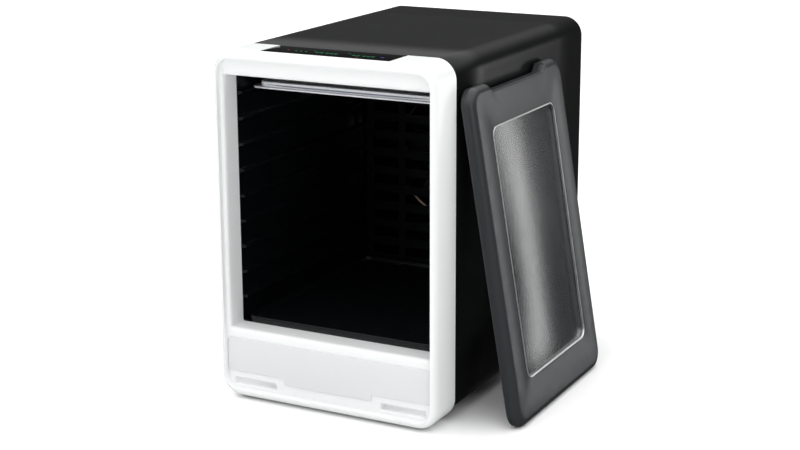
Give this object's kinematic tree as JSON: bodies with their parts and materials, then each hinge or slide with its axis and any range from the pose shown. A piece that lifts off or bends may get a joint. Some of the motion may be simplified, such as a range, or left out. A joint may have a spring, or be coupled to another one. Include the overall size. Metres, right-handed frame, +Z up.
{
  "type": "food dehydrator",
  "caption": "Box-shaped food dehydrator with a black housing, white front frame, slide-in tray, rear fan and a lift-off windowed door leaning on its side.",
  "frame": {"origin": "on the floor, under the middle of the whole object's box, the leaning door included", "axes": "+Z up, -Y out of the open front, +X towards the side that the door leans on"},
  "size_m": [0.3985, 0.467, 0.4594],
  "materials": {
    "white_abs": "injection-moulded ABS, semi-gloss white",
    "grey_abs": "injection-moulded ABS, satin light grey",
    "black_painted_steel": "sheet steel, satin black powder coat",
    "black_abs": "injection-moulded ABS, fine texture, black",
    "black_liner": "injection-moulded polypropylene, semi-gloss black",
    "zinc_sheet": "zinc-plated sheet steel",
    "black_glass": "toughened glass, printed black from behind",
    "circuit_board": "glass-epoxy board, green solder mask",
    "motor_steel": "pressed steel, dark",
    "bright_steel": "turned steel, bright",
    "element_steel": "stainless heating tube, heat-tinted",
    "lead_sleeve": "silicone-sleeved wire",
    "ribbon": "light grey nylon or flat cable",
    "tray_plastic": "injection-moulded polypropylene, natural light grey",
    "tray_mesh": "injection-moulded polypropylene mesh, grey",
    "charcoal_satin": "injection-moulded ABS, satin charcoal",
    "silver_trim": "bright silver trim",
    "smoked_pane": "smoked acrylic, polished",
    "silicone": "extruded silicone",
    "rubber": "moulded rubber"
  },
  "bodies": {
    "cabinet": {"base_plate": "zinc_sheet", "board_spacer_1": "ribbon", "board_spacer_2": "ribbon", "chamber_ceiling": "black_liner", "chamber_floor": "black_liner", "control_board": "circuit_board", "control_glass": "black_glass", "cover_screw_1": "bright_steel", "cover_screw_2": "bright_steel", "cover_screw_3": "bright_steel", "cover_screw_4": "bright_steel", "display_module": "black_abs", "fan_motor": "motor_steel", "fan_plate": "zinc_sheet", "foot_front_left": "rubber", "foot_front_right": "rubber", "foot_rear_left": "rubber", "foot_rear_right": "rubber", "front_bezel": "white_abs", "heater_clip_left": "zinc_sheet", "heater_clip_right": "zinc_sheet", "heater_element": "element_steel", "heater_lead": "lead_sleeve", "inlet_lead": "lead_sleeve", "left_rail_wall": "black_liner", "lower_front_panel": "grey_abs", "motor_lead": "lead_sleeve", "outer_housing": "black_painted_steel", "piezo_buzzer": "black_abs", "power_board": "circuit_board", "power_inlet": "black_abs", "rear_baffle": "black_liner", "rear_cover": "black_abs", "ribbon_cable": "ribbon", "right_rail_wall": "black_liner", "temperature_sensor": "bright_steel", "thermal_cutout": "motor_steel", "transformer": "motor_steel"},
    "fan": {"fan_impeller": "black_liner", "fan_shaft": "bright_steel", "fan_nut": "bright_steel"},
    "tray": {"tray_frame": "tray_plastic", "tray_mesh": "tray_mesh"},
    "drip_pan": {"drip_tray": "black_liner"},
    "door": {"door_hook_left": "charcoal_satin", "door_hook_right": "charcoal_satin", "door_inner_frame": "charcoal_satin", "door_magnet_left": "motor_steel", "door_magnet_right": "motor_steel", "door_outer_shell": "charcoal_satin", "door_screw_1": "bright_steel", "door_screw_2": "bright_steel", "door_screw_3": "bright_steel", "door_screw_4": "bright_steel", "door_seal": "silicone", "window_gasket": "silicone", "window_pane": "smoked_pane", "window_trim": "silver_trim"}
  },
  "joints": [
    {"name": "fan_spin", "type": "hinge", "parent": "cabinet", "child": "fan", "pos_m": [-0.04434, 0.15, 0.26025], "axis": [0, 1, 0], "continuous": true},
    {"name": "tray_slide", "type": "slide", "parent": "cabinet", "child": "tray", "axis": [0, -1, 0], "range_m": [0, 0.32]},
    {"name": "drip_tray_slide", "type": "slide", "parent": "cabinet", "child": "drip_pan", "axis": [0, -1, 0], "range_m": [0, 0.34]},
    {"name": "door_lift_away", "type": "slide", "parent": "cabinet", "child": "door", "axis": [0.7071, 0, 0.7071], "range_m": [0, 0.35]}
  ]
}
